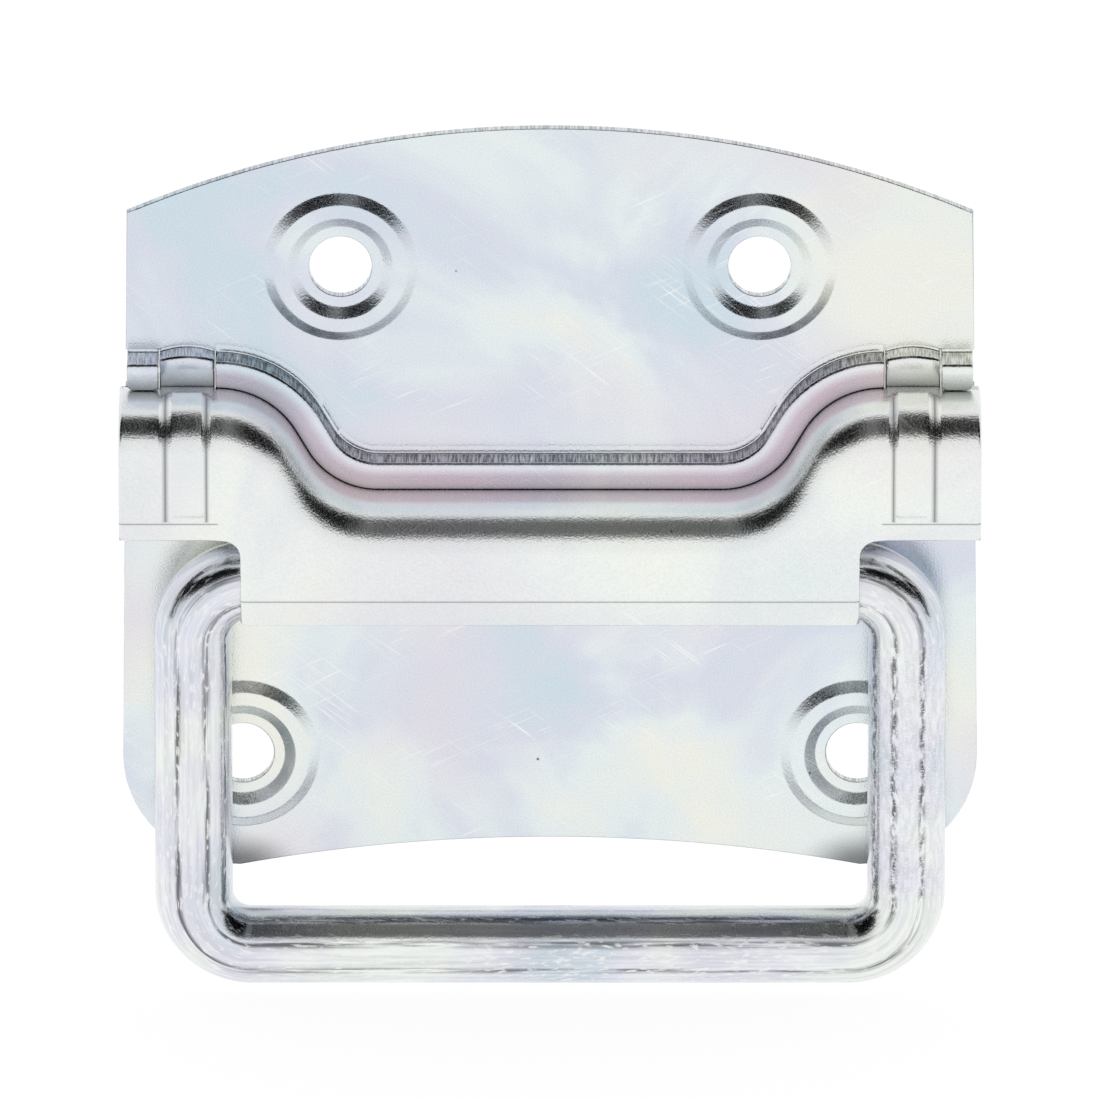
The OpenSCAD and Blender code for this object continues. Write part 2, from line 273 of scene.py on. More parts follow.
# The flat sheet is in two parts, above and below the seam, each drawn as its right half and mirrored.
form = bmesh.new()
arch_r = (PLATE_TOP_HALF ** 2 + ARCH_RISE ** 2) / (2 * ARCH_RISE)
arch_turn = math.degrees(math.asin(PLATE_TOP_HALF / arch_r))
arch = arc(0.0, SHOULDER + ARCH_RISE - arch_r, arch_r, 90 - arch_turn, 90, 24)
lip_line = seam(LIP_END)
lip_root = [p for p in beside(lip_line, LIP_CREST + ROOT_R) if p[0] >= 0]
lip_z = seam_top + LIP_CREST + ROOT_R
root_z = seam_top + BRIDGE_CREST + ROOT_R
tab_end = plate_half(seam_top) - TAB_INSET
bridge_root = []
for i in range(BRIDGE_STEPS + 1):
    off_middle = 2 * i / BRIDGE_STEPS - 1
    bridge_root.append((LIP_END + (tab_start - LIP_END) * i / BRIDGE_STEPS,
                        root_z - BRIDGE_ARCH * off_middle ** 2))
upper = lip_root + bridge_root[1:] + [(plate_half(lip_z), lip_z)] + arch
hollow_half = PLATE_FOOT_HALF - FOOT_R
hollow_r = (hollow_half ** 2 + HOLLOW_RISE ** 2) / (2 * HOLLOW_RISE)
hollow_turn = math.degrees(math.asin(hollow_half / hollow_r))
slot_line = [p for p in beside(lip_line, SLOT_FLOOR) if p[0] >= 0]
step_z = seam_top - BRIDGE_FOOT - ROOT_R
floor_z = seam_top + SLOT_FLOOR
lower = slot_line + [
    (LIP_END, step_z), (tab_start, step_z), (tab_start, floor_z), (plate_half(floor_z), floor_z)]
lower += arc(hollow_half, foot_start, FOOT_R, 0, -90, 14)
lower += arc(0.0, FOOT + HOLLOW_RISE - hollow_r, hollow_r, 90 - hollow_turn, 90, 18)[1:]
ring_loops = [arc(x, z, RING_R, 0, 360, RING_STEPS)[:-1] for x, z in SCREWS]


def clear_of_rings(x, z):
    """Whether a point lies outside the screw rings, whose outlines are made of short straight edges."""
    nearest = RING_R * math.cos(math.pi / RING_STEPS)
    return all(math.hypot(x - a, z - b) > nearest for a, b in SCREWS)


def grid_points(rows):
    """Points 8 mm apart along rows of the flat sheet, clear of its rings."""
    return [(x, z) for x in range(-40, 41, 8) for z in rows if clear_of_rings(x, z)]


above_lip = beside(lip_line, LIP_CREST + ROOT_R + ROOT_BEND)
above_lip += [(s * x, z + ROOT_BEND) for s in (-1, 1) for x, z in bridge_root[1:] + [(TAB_MIDDLE, lip_z)]]
fill_flat(form, [mirrored(upper)] + ring_loops[:2], grid_points((24, 32)) + above_lip,
          lambda x, z: SHEET, clear_of_rings)
fill_flat(form, [mirrored(lower)] + ring_loops[2:], grid_points((-30, -20, -10, 0)),
          lambda x, z: SHEET, clear_of_rings)


def flank(low, high, value):
    """The side of a pressed form: straight from 0 to 1, with a short curve at either end."""
    bend = 0.14
    t = min(1.0, max(0.0, (value - low) / (high - low)))
    if t < bend:
        return t * t / (2 * bend * (1 - bend))
    if t > 1 - bend:
        return 1 - (1 - t) ** 2 / (2 * bend * (1 - bend))
    return (t - bend / 2) / (1 - bend)


def ring_rise(radius):
    """Height of the pressed ring above the plate."""
    return RING_RISE * (flank(LAND_R, RIDGE_IN_R, radius) - flank(RIDGE_OUT_R, RING_R, radius))


flank_steps = [0.0, 0.05, 0.1, 0.14, 0.3, 0.5, 0.7, 0.86, 0.9, 0.95, 1.0]
ring_radii = ([HOLE_R, LAND_MID_R] + [LAND_R + (RIDGE_IN_R - LAND_R) * t for t in flank_steps]
              + [RIDGE_OUT_R + (RING_R - RIDGE_OUT_R) * t for t in flank_steps])
for x, z in SCREWS:
    ring_rows = []
    for r in ring_radii:
        round_hole = arc(x, z, r, 0, 360, RING_STEPS)[:-1]
        ring_rows.append([at(px, pz, SHEET + ring_rise(r)) for px, pz in round_hole])
    add_rows(form, ring_rows, closed=True)

sheet_part = pressed("plate_sheet", form, {}, mirrored(lip_root + bridge_root))

# The lip follows the seam, and beyond each of its ends stand an arched bridge and a round cornered tab.
form = bmesh.new()
lip_section = stepped(LIP_DEPTH, LIP_CREST, LIP_EDGE)
lip_rows = []
for x, z, u, v in lip_line:
    lip_rows.append([at(x + rise * u, z + rise * v, depth) for rise, depth in lip_section])
add_rows(form, lip_rows, closed=True, capped=True)
for face in form.faces:
    face.material_index = 1
for side in (-1, 1):
    tab_columns = []
    corners = [(tab_start, near) for near in (0.0, 0.3, 1.0)]
    corners += [(tab_end, near) for near in (1.0, 0.3, 0.0)]
    for x, near in corners:
        edge = TAB_EDGE + TAB_CORNER * (1 - math.sqrt(1 - (1 - near) ** 2))
        inward = near * TAB_CORNER * (1 if x == tab_start else -1)
        section = stepped(LIP_DEPTH + TAB_FORWARD, LIP_CREST, edge)
        tab_columns.append([at(side * (x + inward), seam_top + rise, depth) for rise, depth in section])
    add_rows(form, tab_columns, closed=True, capped=True)
    bars = []
    for i in range(BRIDGE_STEPS + 1):
        x = bridge_start - BRIDGE_SPREAD + (BRIDGE_WIDTH + 2 * BRIDGE_SPREAD) * i / BRIDGE_STEPS
        off_middle = 2 * i / BRIDGE_STEPS - 1
        crest = BRIDGE_CREST - BRIDGE_ARCH * off_middle ** 2
        above = stepped(BRIDGE_DEPTH, crest, 0.0)[2:]
        below = stepped(BRIDGE_DEPTH, BRIDGE_FOOT, 0.0)[2:]
        section = above + [(-rise, depth) for rise, depth in reversed(below)]
        section += [(rise, BRIDGE_DEPTH + SHEET) for rise in (-0.2, 0.3)]
        bar = []
        for rise, depth in section:
            bow = BRIDGE_BOW * (1 - off_middle ** 2) * flank(SHEET, BRIDGE_DEPTH + SHEET, depth)
            bar.append(at(side * x, seam_top + rise, depth + bow * flank(BOW_LOW, BOW_HIGH, rise)))
        bars.append(bar)
    add_rows(form, bars, closed=True, capped=True)
lances = finished("plate_lances", form, [("BEVEL", dict(edge_break, limit_method="ANGLE"))])

form = bmesh.new()
form.from_mesh(sheet_part.data)
form.from_mesh(lances.data)
plate = finished("pressed_back_plate", form, [])
for part in (sheet_part, lances):
    bpy.data.objects.remove(part)


def edge_tint_and_painted_shade(x, z, depth):
    """1 at the lower edge of the lip, bridges and tabs, and 0 at their crest and on the plate. It sets
    the painted shade along those lower edges and the tint of the lip's film.
    On bridges and tabs it comes up sooner from the crest."""
    near_x, near_z, u, v = min(lip_line, key=lambda p: (p[0] - x) ** 2 + (p[1] - z) ** 2)
    rise = z - seam_top if abs(x) > LIP_END else (x - near_x) * u + (z - near_z) * v
    clear_of_plate = 0.6
    below_edge = -1.0
    if depth < SHEET + clear_of_plate or rise < below_edge:
        return 0.0
    share = min(1.0, max(0.0, 1 - rise / (LIP_CREST - CREST_R)))
    return share ** 0.2 if abs(x) > LIP_END else share


def keep_tint_and_shade(piece, tint_and_shade_at):
    """Keeps with each point of a piece its share of painted shade and tint, for its material to read."""
    tint_and_shade_layer = piece.data.attributes.new("edge_tint_and_painted_shade", "FLOAT", "POINT")
    tint_and_shade_layer.data.foreach_set("value", [
        tint_and_shade_at(v.co.x / MM, v.co.z / MM, -v.co.y / MM) for v in piece.data.vertices])


# The lip, bridges and tabs take painted shade towards their lower edges, and the lip a tint.
keep_tint_and_shade(plate, edge_tint_and_painted_shade)


def linear(hex_colour):
    """An sRGB hex colour as linear RGBA."""
    channels = [int(hex_colour[i:i + 2], 16) / 255 for i in (1, 3, 5)]
    return [c / 12.92 if c <= 0.04045 else ((c + 0.055) / 1.055) ** 2.4 for c in channels] + [1.0]


def add_node(tree, kind, inputs=None, stops=(), **settings):
    """Adds a node, sets it up, and fills or links its inputs. Stops are those of a colour ramp."""
    made = tree.nodes.new(kind)
    for name, value in settings.items():
        setattr(made, name, value)
    for key, value in (inputs or {}).items():
        if isinstance(value, bpy.types.NodeSocket):
            tree.links.new(value, made.inputs[key])
        else:
            made.inputs[key].default_value = value
    for i, (place, colour) in enumerate(stops):
        element = made.color_ramp.elements[i] if i < 2 else made.color_ramp.elements.new(place)
        element.position = place
        element.color = colour
    return made


# Bright zinc with a clear blue passivation, on cold rolled sheet: a satin metal, silvery grey, on
# which the thin passive film shows as cloudy patches of pale blue, cream and lavender.
# Handling in the barrel left fine bright scratches and a few dark pits.
zinc_sheet = bpy.data.materials.new("zinc_plated_sheet_blue_passivated")
zinc_sheet.use_nodes = True
tree = zinc_sheet.node_tree
tree.nodes.clear()
place = add_node(tree, "ShaderNodeTexCoord").outputs["Object"]
shifted = add_node(tree, "ShaderNodeMapping", {
    "Vector": place, "Location": (13 * MM, 0.0, 21 * MM), "Scale": (-1.0, 1.0, 1.0)},
    name="film place").outputs["Vector"]
film_mm = 30
film = add_node(tree, "ShaderNodeTexNoise", {
    "Vector": shifted, "Scale": 1000 / film_mm, "Detail": 4.0, "Roughness": 0.55, "Distortion": 0.6})
film_colour = add_node(tree, "ShaderNodeValToRGB", {"Fac": film.outputs["Fac"]}, stops=[
    (0.36, linear("#CCDBE4")), (0.63, linear("#EBEDE5")),
    (0.45, linear("#D6DBE6")), (0.53, linear("#E1E9EB"))], name="film colours")
blush_mm = 34
blush_place = add_node(tree, "ShaderNodeMapping", {"Vector": shifted, "Location": (0.2, 0.0, 0.1)})
blush = add_node(tree, "ShaderNodeTexNoise", {
    "Vector": blush_place.outputs["Vector"], "Scale": 1000 / blush_mm, "Detail": 3.0})
blush_share = add_node(tree, "ShaderNodeMapRange", {
    "Value": blush.outputs["Fac"], "From Min": 0.48, "From Max": 0.62, "To Max": 0.75},
    name="blush share")
colour = add_node(tree, "ShaderNodeMix", {
    "Factor": blush_share.outputs["Result"], "A": film_colour.outputs["Color"], "B": linear("#E0DBE4")},
    data_type="RGBA").outputs["Result"]
grain_mm = 0.2
grain = add_node(tree, "ShaderNodeTexNoise", {
    "Vector": place, "Scale": 1000 / grain_mm, "Detail": 3.0}).outputs["Fac"]
grain_tone = add_node(tree, "ShaderNodeMapRange", {
    "Value": grain, "From Min": 0.3, "From Max": 0.7, "To Min": 0.93, "To Max": 1.04})
colour = add_node(tree, "ShaderNodeMix", {"Factor": 1.0, "A": colour, "B": grain_tone.outputs["Result"]},
                  data_type="RGBA", blend_type="MULTIPLY").outputs["Result"]

# Cut and drawn faces carry close set marks across the sheet, drawn coarser than real ones to show, and
# are darkened with them as painted shade.
facing = add_node(tree, "ShaderNodeNewGeometry").outputs["Normal"]
turned = add_node(tree, "ShaderNodeSeparateXYZ", {0: facing})
sideways = add_node(tree, "ShaderNodeMath", {0: turned.outputs["Y"]}, operation="ABSOLUTE")
cut_face = add_node(tree, "ShaderNodeMapRange", {
    "Value": sideways.outputs[0], "From Min": 0.65, "From Max": 0.35}, name="cut faces").outputs["Result"]
mark_mm = 0.16
mark_length_mm = 2.5
draw_place = add_node(tree, "ShaderNodeMapping", {
    "Vector": place, "Scale": (mark_mm * MM, mark_length_mm * MM, mark_length_mm * MM)},
    vector_type="TEXTURE")
draw_marks = add_node(tree, "ShaderNodeTexNoise", {
    "Vector": draw_place.outputs["Vector"], "Scale": 1.0, "Detail": 2.0}).outputs["Fac"]
marks_and_shade_tone = add_node(tree, "ShaderNodeMapRange", {
    "Value": draw_marks, "From Min": 0.38, "From Max": 0.6, "To Min": 0.5, "To Max": 0.95},
    name="marks and painted shade tone")
colour = add_node(tree, "ShaderNodeMix", {
    "Factor": cut_face, "A": colour, "B": marks_and_shade_tone.outputs["Result"]},
    data_type="RGBA", blend_type="MULTIPLY").outputs["Result"]

# Scratches in two main directions where the pieces rubbed, from noise drawn out to 6 and 8 mm.
rub_mm = 11
rubbed = add_node(tree, "ShaderNodeTexNoise", {
    "Vector": blush_place.outputs["Vector"], "Scale": 1000 / rub_mm, "Detail": 2.0})
rub_share = add_node(tree, "ShaderNodeMapRange", {
    "Value": rubbed.outputs["Fac"], "From Min": 0.48, "From Max": 0.62},
    name="rub share").outputs["Result"]
scratch_mm = 0.2
scratch_depth_mm = 5
scratches = 0.0
for angle, length_mm in ((38, 8.0), (-24, 6.0)):
    scratch_place = add_node(tree, "ShaderNodeMapping", {
        "Vector": place, "Rotation": (0.0, math.radians(angle), 0.0),
        "Scale": (length_mm * MM, scratch_depth_mm * MM, scratch_mm * MM)}, vector_type="TEXTURE")
    scratch = add_node(tree, "ShaderNodeTexNoise", {
        "Vector": scratch_place.outputs["Vector"], "Scale": 1.0, "Detail": 1.0})
    line = add_node(tree, "ShaderNodeMapRange", {
        "Value": scratch.outputs["Fac"], "From Min": 0.65, "From Max": 0.73, "To Max": 0.8})
    line = add_node(tree, "ShaderNodeMath", {
        0: line.outputs["Result"], 1: rub_share}, operation="MULTIPLY")
    scratches = add_node(tree, "ShaderNodeMath", {
        0: scratches, 1: line.outputs[0]}, operation="MAXIMUM").outputs[0]
colour = add_node(tree, "ShaderNodeMix", {"Factor": scratches, "A": colour, "B": linear("#F8F8F6")},
                  data_type="RGBA").outputs["Result"]

# Pits up to some 0.4 mm across, at the few points of a 4.5 mm scatter that fall on the surface.
pit_mm = 4.5
pits = add_node(tree, "ShaderNodeTexVoronoi", {"Vector": place, "Scale": 1000 / pit_mm})
pit_size = add_node(tree, "ShaderNodeMapRange", {
    "Value": pits.outputs["Distance"], "From Min": 0.045, "From Max": 0.02})
pit_number = add_node(tree, "ShaderNodeSeparateColor", {0: pits.outputs["Color"]}).outputs[0]
pit_chance = add_node(tree, "ShaderNodeMath", {0: pit_number, 1: 0.62}, operation="GREATER_THAN")
pit = add_node(tree, "ShaderNodeMath", {
    0: pit_size.outputs["Result"], 1: pit_chance.outputs[0]}, operation="MULTIPLY")
colour = add_node(tree, "ShaderNodeMix", {"Factor": pit.outputs[0], "A": colour, "B": linear("#6B6A66")},
                  data_type="RGBA").outputs["Result"]

# Towards the lower edge of what was drawn out of the sheet the film is tinted, and close to that edge,
# as along the cover's bends, shade is painted in as darker colour.
tint_and_shade = add_node(tree, "ShaderNodeAttribute", attribute_name="edge_tint_and_painted_shade").outputs["Fac"]
drawn_share = add_node(tree, "ShaderNodeMapRange", {"Value": tint_and_shade, "From Min": 0.02, "From Max": 0.4})
colour = add_node(tree, "ShaderNodeMix", {
    "Factor": drawn_share.outputs["Result"], "A": colour, "B": linear("#FFFFFF")},
    data_type="RGBA", blend_type="MULTIPLY", name="drawn tint").outputs["Result"]
tint_and_shade = add_node(tree, "ShaderNodeMath", {0: tint_and_shade, 1: 7.0}, operation="POWER").outputs[0]

# Painted shade on the plate's lower corners beside the bail's legs, which fades out from there over some
# 4 mm in height and 7 mm to either side.
corner_shade_mm = 4.2
corner_squeeze = 0.6
from_middle = add_node(tree, "ShaderNodeSeparateXYZ", {0: place})
out = add_node(tree, "ShaderNodeMath", {0: from_middle.outputs["X"]}, operation="ABSOLUTE").outputs[0]
out = add_node(tree, "ShaderNodeMath", {0: out, 1: corner_squeeze}, operation="MULTIPLY").outputs[0]
flat_place = add_node(tree, "ShaderNodeCombineXYZ", {0: out, 2: from_middle.outputs["Z"]}).outputs[0]
from_corner = add_node(tree, "ShaderNodeVectorMath", {
    0: flat_place, 1: (corner_squeeze * hollow_half * MM, 0.0, FOOT * MM)},
    operation="DISTANCE").outputs["Value"]
corner_painted_shade = add_node(tree, "ShaderNodeMapRange", {
    "Value": from_corner, "From Min": corner_shade_mm * MM, "From Max": 0.5 * MM},
    interpolation_type="SMOOTHSTEP").outputs["Result"]
tint_and_shade = add_node(tree, "ShaderNodeMath", {0: tint_and_shade, 1: corner_painted_shade}, operation="MAXIMUM").outputs[0]
painted_shade_tone = add_node(tree, "ShaderNodeMapRange", {"Value": tint_and_shade, "To Min": 1.0, "To Max": 0.3})
colour = add_node(tree, "ShaderNodeMix", {"Factor": 1.0, "A": colour, "B": painted_shade_tone.outputs["Result"]},
                  data_type="RGBA", blend_type="MULTIPLY").outputs["Result"]

roughness = add_node(tree, "ShaderNodeMapRange", {
    "Value": grain, "From Min": 0.25, "From Max": 0.75, "To Min": 0.16, "To Max": 0.28}).outputs["Result"]
roughness = add_node(tree, "ShaderNodeMath", {0: scratches, 1: 0.2, 2: roughness},
                     operation="MULTIPLY_ADD").outputs[0]
grain_height_mm = 0.022
texture = add_node(tree, "ShaderNodeBump", {
    "Height": grain, "Strength": 1.0, "Distance": grain_height_mm * MM}, name="surface grain")
surface = add_node(tree, "ShaderNodeBsdfPrincipled", {
    "Base Color": colour, "Metallic": 1.0, "Roughness": roughness, "Normal": texture.outputs["Normal"]})
add_node(tree, "ShaderNodeOutputMaterial", {"Surface": surface.outputs["BSDF"]})

# Where the sheet was drawn out into the lip the film is thicker, a pinkish grey, and the painted shade on
# its cut and drawn faces is darker.
zinc_drawn = zinc_sheet.copy()
zinc_drawn.name = "zinc_plated_drawn_sheet_pinkish"
drawn_nodes = zinc_drawn.node_tree.nodes
drawn_nodes["marks and painted shade tone"].inputs["To Min"].default_value = 0.12
drawn_nodes["marks and painted shade tone"].inputs["To Max"].default_value = 0.6
drawn_nodes["drawn tint"].inputs["B"].default_value = linear("#EADADF")
for finish in (zinc_sheet, zinc_drawn):
    plate.data.materials.append(finish)
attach(plate, "mount")
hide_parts("back_plate")

# Front cover
# A strip of the same 1.2 mm sheet, folded over along the S line, with a stiffening bead on each
# ear and its lower edge rolled in. Its flange hooks in behind the plate's lip and tabs.
COVER_HALF = 44.0
COVER_EDGE_R = 0.35
HOOK_HALF = 42.6
HOOK_DEPTH = 2.5
HOOK_RISE = 1.0
HOOK_BEND = 0.25
HOOK_BEND_MID = 0.07
NOTCH_DEPTH = 3.1
SHELF_MID = 4.6
FOLD_R = 4.7
FACE_DEPTH = 12.1
EAR_EDGE = 0.3
EAR_ROLL = 2.4
FLAP_HALF = 31.65
FLAP_EDGE = -9.0
FLAP_ROLL = 3.25
FLAP_CORNER = 0.3
ROLL_R = 2.0
ROLL_ANGLE = math.radians(16)
NOTCH_R = 1.6
EDGE_STRIP = 0.6
BEAD_INNER = 34.5
BEAD_CREST_IN = 35.6
BEAD_CREST_OUT = 38.5
BEAD_OUTER = 40.0
BEAD_RISE = 0.7
BEAD_BACK = 1.2
BEAD_RUN = 0.7
BEAD_FOOT = 1.3


def smooth(low, high, value):
    """A smooth step from 0 to 1."""
    t = min(1.0, max(0.0, (value - low) / (high - low)))
    return t * t * (3 - 2 * t)


def bead_rise(x):
    """Height of an ear's bead across its width."""
    up = flank(BEAD_INNER, BEAD_CREST_IN, abs(x))
    down = flank(BEAD_CREST_OUT, BEAD_OUTER, abs(x))
    return BEAD_RISE * (up - down)


bead_columns = [BEAD_INNER + (BEAD_CREST_IN - BEAD_INNER) * t for t in flank_steps]
bead_columns += [BEAD_CREST_OUT + (BEAD_OUTER - BEAD_CREST_OUT) * t for t in flank_steps]
bead_columns += [BEAD_CREST_IN + across for across in (0.7, 1.5, 2.2)]
ear_columns = sorted([LIP_END, tab_start, TAB_MIDDLE, HOOK_HALF, COVER_HALF] + bead_columns)
fold_line = seam(*ear_columns)
fold_back = FACE_DEPTH - FOLD_R
bead_back = fold_back - BEAD_BACK
hook = [(HOOK_RISE, HOOK_DEPTH), (HOOK_BEND, HOOK_DEPTH), (HOOK_BEND_MID, HOOK_DEPTH + HOOK_BEND_MID)]
shelf = [(0.0, d) for d in (HOOK_DEPTH + HOOK_BEND, NOTCH_DEPTH, SHELF_MID)]
shelf += [(0.0, bead_back + BEAD_RUN * i / 4) for i in range(-1, 4)]
fold = [(x - FOLD_R, z + fold_back) for x, z in arc(0.0, 0.0, FOLD_R, 0, 90, 16)]
cover_section = hook + shelf + fold
rows = []
for rise, depth in cover_section:
    turn = math.asin(max(0.0, min(1.0, (depth - fold_back) / FOLD_R)))
    share = smooth(bead_back - 0.2, bead_back + 0.5, depth)
    row = []
    for x, z, u, v in fold_line:
        bead = share * bead_rise(x)
        up = rise + bead * math.cos(turn)
        row.append(at(x + up * u, z + up * v, depth + bead * math.sin(turn)))
    rows.append(row)

# The flange is notched where the bridges pass through it, and stops short of the cover's ends.
notch_rows = cover_section.index((0.0, NOTCH_DEPTH))
open_faces = set()
for j, (a, b) in enumerate(zip(fold_line, fold_line[1:])):
    middle = abs(a[0] + b[0]) / 2
    if LIP_END - 1e-6 < middle < tab_start + 1e-6:
        open_faces |= {(i, j) for i in range(notch_rows)}
    if middle > HOOK_HALF:
        open_faces |= {(i, j) for i in range(len(hook))}
form = bmesh.new()
add_rows(form, rows, skip=open_faces)

# The face between the ears is filled as one sheet, and each ear is laid in rows beside it.
face_top = beside(fold_line, -FOLD_R)
ear_top = EAR_EDGE + EAR_ROLL
flap_top = FLAP_EDGE + FLAP_ROLL
roll_drop = ROLL_R * math.sin(ROLL_ANGLE)
roll_steps = [roll_drop * i / 4 for i in range(5)]
face_rows = [seam_top - FOLD_R, 8.4, 7.2, 6.0, 5.0]
bead_foot_rows = [ear_top + BEAD_FOOT * (1 - i / 6) for i in range(7)]
ear_roll_rows = [ear_top - d for d in roll_steps[1:]]
ear_roll_rows += [ear_top - roll_drop - 0.7 * i for i in (1, 2)]
ear_rows = face_rows + bead_foot_rows + ear_roll_rows + [EAR_EDGE]
flap_rows = [flap_top - d for d in roll_steps] + [flap_top - roll_drop - 0.8 * i for i in range(1, 4)]
notch_x = FLAP_HALF + NOTCH_R
notch_z = EAR_EDGE - NOTCH_R
half = [p for p in face_top if 0 <= p[0] < SEAM_HEAD + 1e-6] + [(SEAM_HEAD, z) for z in ear_rows[1:]]
half += arc(notch_x, notch_z, NOTCH_R, 90, 180, 12) + [(FLAP_HALF, z) for z in flap_rows]
half += [(FLAP_HALF - FLAP_CORNER, FLAP_EDGE), (0.0, FLAP_EDGE)]
notch_columns = (32.4, 33.2)
beside_edge = [(x, z) for x in notch_columns for z in bead_foot_rows[-1:] + ear_roll_rows]
above_roll = [flap_top + 0.8 * i for i in range(1, 6)]
beside_edge += [(FLAP_HALF - EDGE_STRIP, z) for z in flap_rows + above_roll]
beside_edge += arc(notch_x, notch_z, NOTCH_R + EDGE_STRIP, 100, 175, 8)
extra = [(x * 2.5, z) for x in range(-12, 13) for z in flap_rows]
extra += [(s * x, z) for s in (-1, 1) for x, z in beside_edge]


def rolled(drop):
    """How far a rolled edge has come in, at a distance below its bend."""
    bent = min(max(drop, 0.0), roll_drop)
    return ROLL_R - math.sqrt(ROLL_R ** 2 - bent ** 2) + (max(drop, 0.0) - bent) * math.tan(ROLL_ANGLE)


def face_depth(x, z):
    """Depth of the cover's face, with its rolled edges and beads."""
    ear = smooth(FLAP_HALF - 0.2, FLAP_HALF + 2 * NOTCH_R, abs(x))
    return (FACE_DEPTH - rolled(flap_top - z) * (1 - ear) - rolled(ear_top - z) * ear
            + bead_rise(x) * smooth(ear_top, ear_top + BEAD_FOOT, z))


fill_flat(form, [mirrored(half)], extra, face_depth, lambda x, z: True)
for side in (-1, 1):
    add_rows(form, [
        [at(side * x, z, face_depth(x, z)) for x in [SEAM_HEAD] + ear_columns] for z in ear_rows])
cover = pressed("folded_front_cover", form, {"width": COVER_EDGE_R * MM, "segments": 3})


def bend_painted_shade(x, z, depth):
    """1 along the middle of the cover's sharp bends, where a dark line is painted in as shade, and 0 on
    either side of them.
    """
    roll_top = flap_top if abs(x) < SEAM_HEAD else ear_top
    turns = [(roll_top - z) / roll_drop]
    if z > ear_top and depth > fold_back:
        turns += [(abs(x) - BEAD_INNER) / (BEAD_CREST_IN - BEAD_INNER),
                  (abs(x) - BEAD_CREST_OUT) / (BEAD_OUTER - BEAD_CREST_OUT)]
    return max(math.sin(math.pi * t) if 0 < t < 1 else 0.0 for t in turns)


# The cover takes painted shade as a dark line along its bends.
keep_tint_and_shade(cover, bend_painted_shade)

# The same plating, with its own clouds, its film paler and less blushed than the plate's, and more of it
# scratched.
zinc_cover = zinc_sheet.copy()
zinc_cover.name = "zinc_plated_cover_blue_passivated"
cover_nodes = zinc_cover.node_tree.nodes
cover_nodes["film place"].inputs["Location"].default_value = (71 * MM, 0.0, 55 * MM)
for stop in cover_nodes["film colours"].color_ramp.elements:
    stop.color = [0.5 * a + 0.5 * b for a, b in zip(stop.color, linear("#F6F7EE"))]
cover_nodes["blush share"].inputs["To Max"].default_value = 0.35
cover_nodes["cut faces"].inputs["To Max"].default_value = 0.0
cover_nodes["rub share"].inputs["From Min"].default_value = 0.42
cover_grain_mm = 0.026
cover_nodes["surface grain"].inputs["Distance"].default_value = cover_grain_mm * MM
cover.data.materials.append(zinc_cover)
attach(cover, "mount")
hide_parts("front_cover")

# Bail
# An 8 mm drawn steel rod, bent to a closed rectangle and butt welded where the cover hides it.
# Its top bar turns inside the cover, and it hangs down flat when nobody lifts it.
ROD_R = 4.0
LEG_X = 36.6
BEND_R = 6.0
PIVOT_Z = -5.6
PIVOT_DEPTH = 6.3
BAIL_DROP = 40.0

# Zinc on drawn rod: the same bright metal, with long streaks from the drawing die along it and
# white scuffs where hands and the plate have rubbed it.
zinc_rod = bpy.data.materials.new("zinc_plated_drawn_rod")
zinc_rod.use_nodes = True
tree = zinc_rod.node_tree
tree.nodes.clear()
place = add_node(tree, "ShaderNodeTexCoord").outputs["Object"]
straight = add_node(tree, "ShaderNodeAttribute", attribute_name="rod_place").outputs["Vector"]
film_mm = 14
film = add_node(tree, "ShaderNodeTexNoise", {"Vector": place, "Scale": 1000 / film_mm, "Detail": 3.0})
colour = add_node(tree, "ShaderNodeValToRGB", {"Fac": film.outputs["Fac"]}, stops=[
    (0.36, linear("#CDD7DF")), (0.64, linear("#EAEEEA")), (0.5, linear("#DEDFE9"))]).outputs["Color"]
streak_mm = 0.45
streak_length_mm = 9
streak_place = add_node(tree, "ShaderNodeMapping", {
    "Vector": straight, "Scale": (streak_mm * MM, streak_mm * MM, streak_length_mm * MM)},
    vector_type="TEXTURE")
streaks = add_node(tree, "ShaderNodeTexNoise", {
    "Vector": streak_place.outputs["Vector"], "Scale": 1.0, "Detail": 4.0}).outputs["Fac"]
streak_tone = add_node(tree, "ShaderNodeMapRange", {
    "Value": streaks, "From Min": 0.3, "From Max": 0.65, "To Min": 0.84, "To Max": 1.04})
colour = add_node(tree, "ShaderNodeMix", {"Factor": 1.0, "A": colour, "B": streak_tone.outputs["Result"]},
                  data_type="RGBA", blend_type="MULTIPLY").outputs["Result"]

# Dark lines along the rod, some 0.5 mm wide, are painted reflections laid out like die scores. Each is
# given by its place across the rod and half its width.
rod_side = add_node(tree, "ShaderNodeSeparateXYZ", {0: straight}).outputs["X"]
painted_lines = 0.0
for painted_line_mm, half_mm in ((1.55, 0.26), (-1.35, 0.3), (-3.35, 0.22)):
    off = add_node(tree, "ShaderNodeMath", {
        0: rod_side, 1: painted_line_mm * MM}, operation="SUBTRACT").outputs[0]
    off = add_node(tree, "ShaderNodeMath", {0: off}, operation="ABSOLUTE").outputs[0]
    painted_line = add_node(tree, "ShaderNodeMapRange", {
        "Value": off, "From Min": 1.7 * half_mm * MM, "From Max": 0.4 * half_mm * MM}).outputs["Result"]
    painted_lines = add_node(tree, "ShaderNodeMath", {0: painted_line, 1: painted_lines}, operation="MAXIMUM").outputs[0]
unbroken = add_node(tree, "ShaderNodeMapRange", {
    "Value": streaks, "From Min": 0.62, "From Max": 0.42}).outputs["Result"]
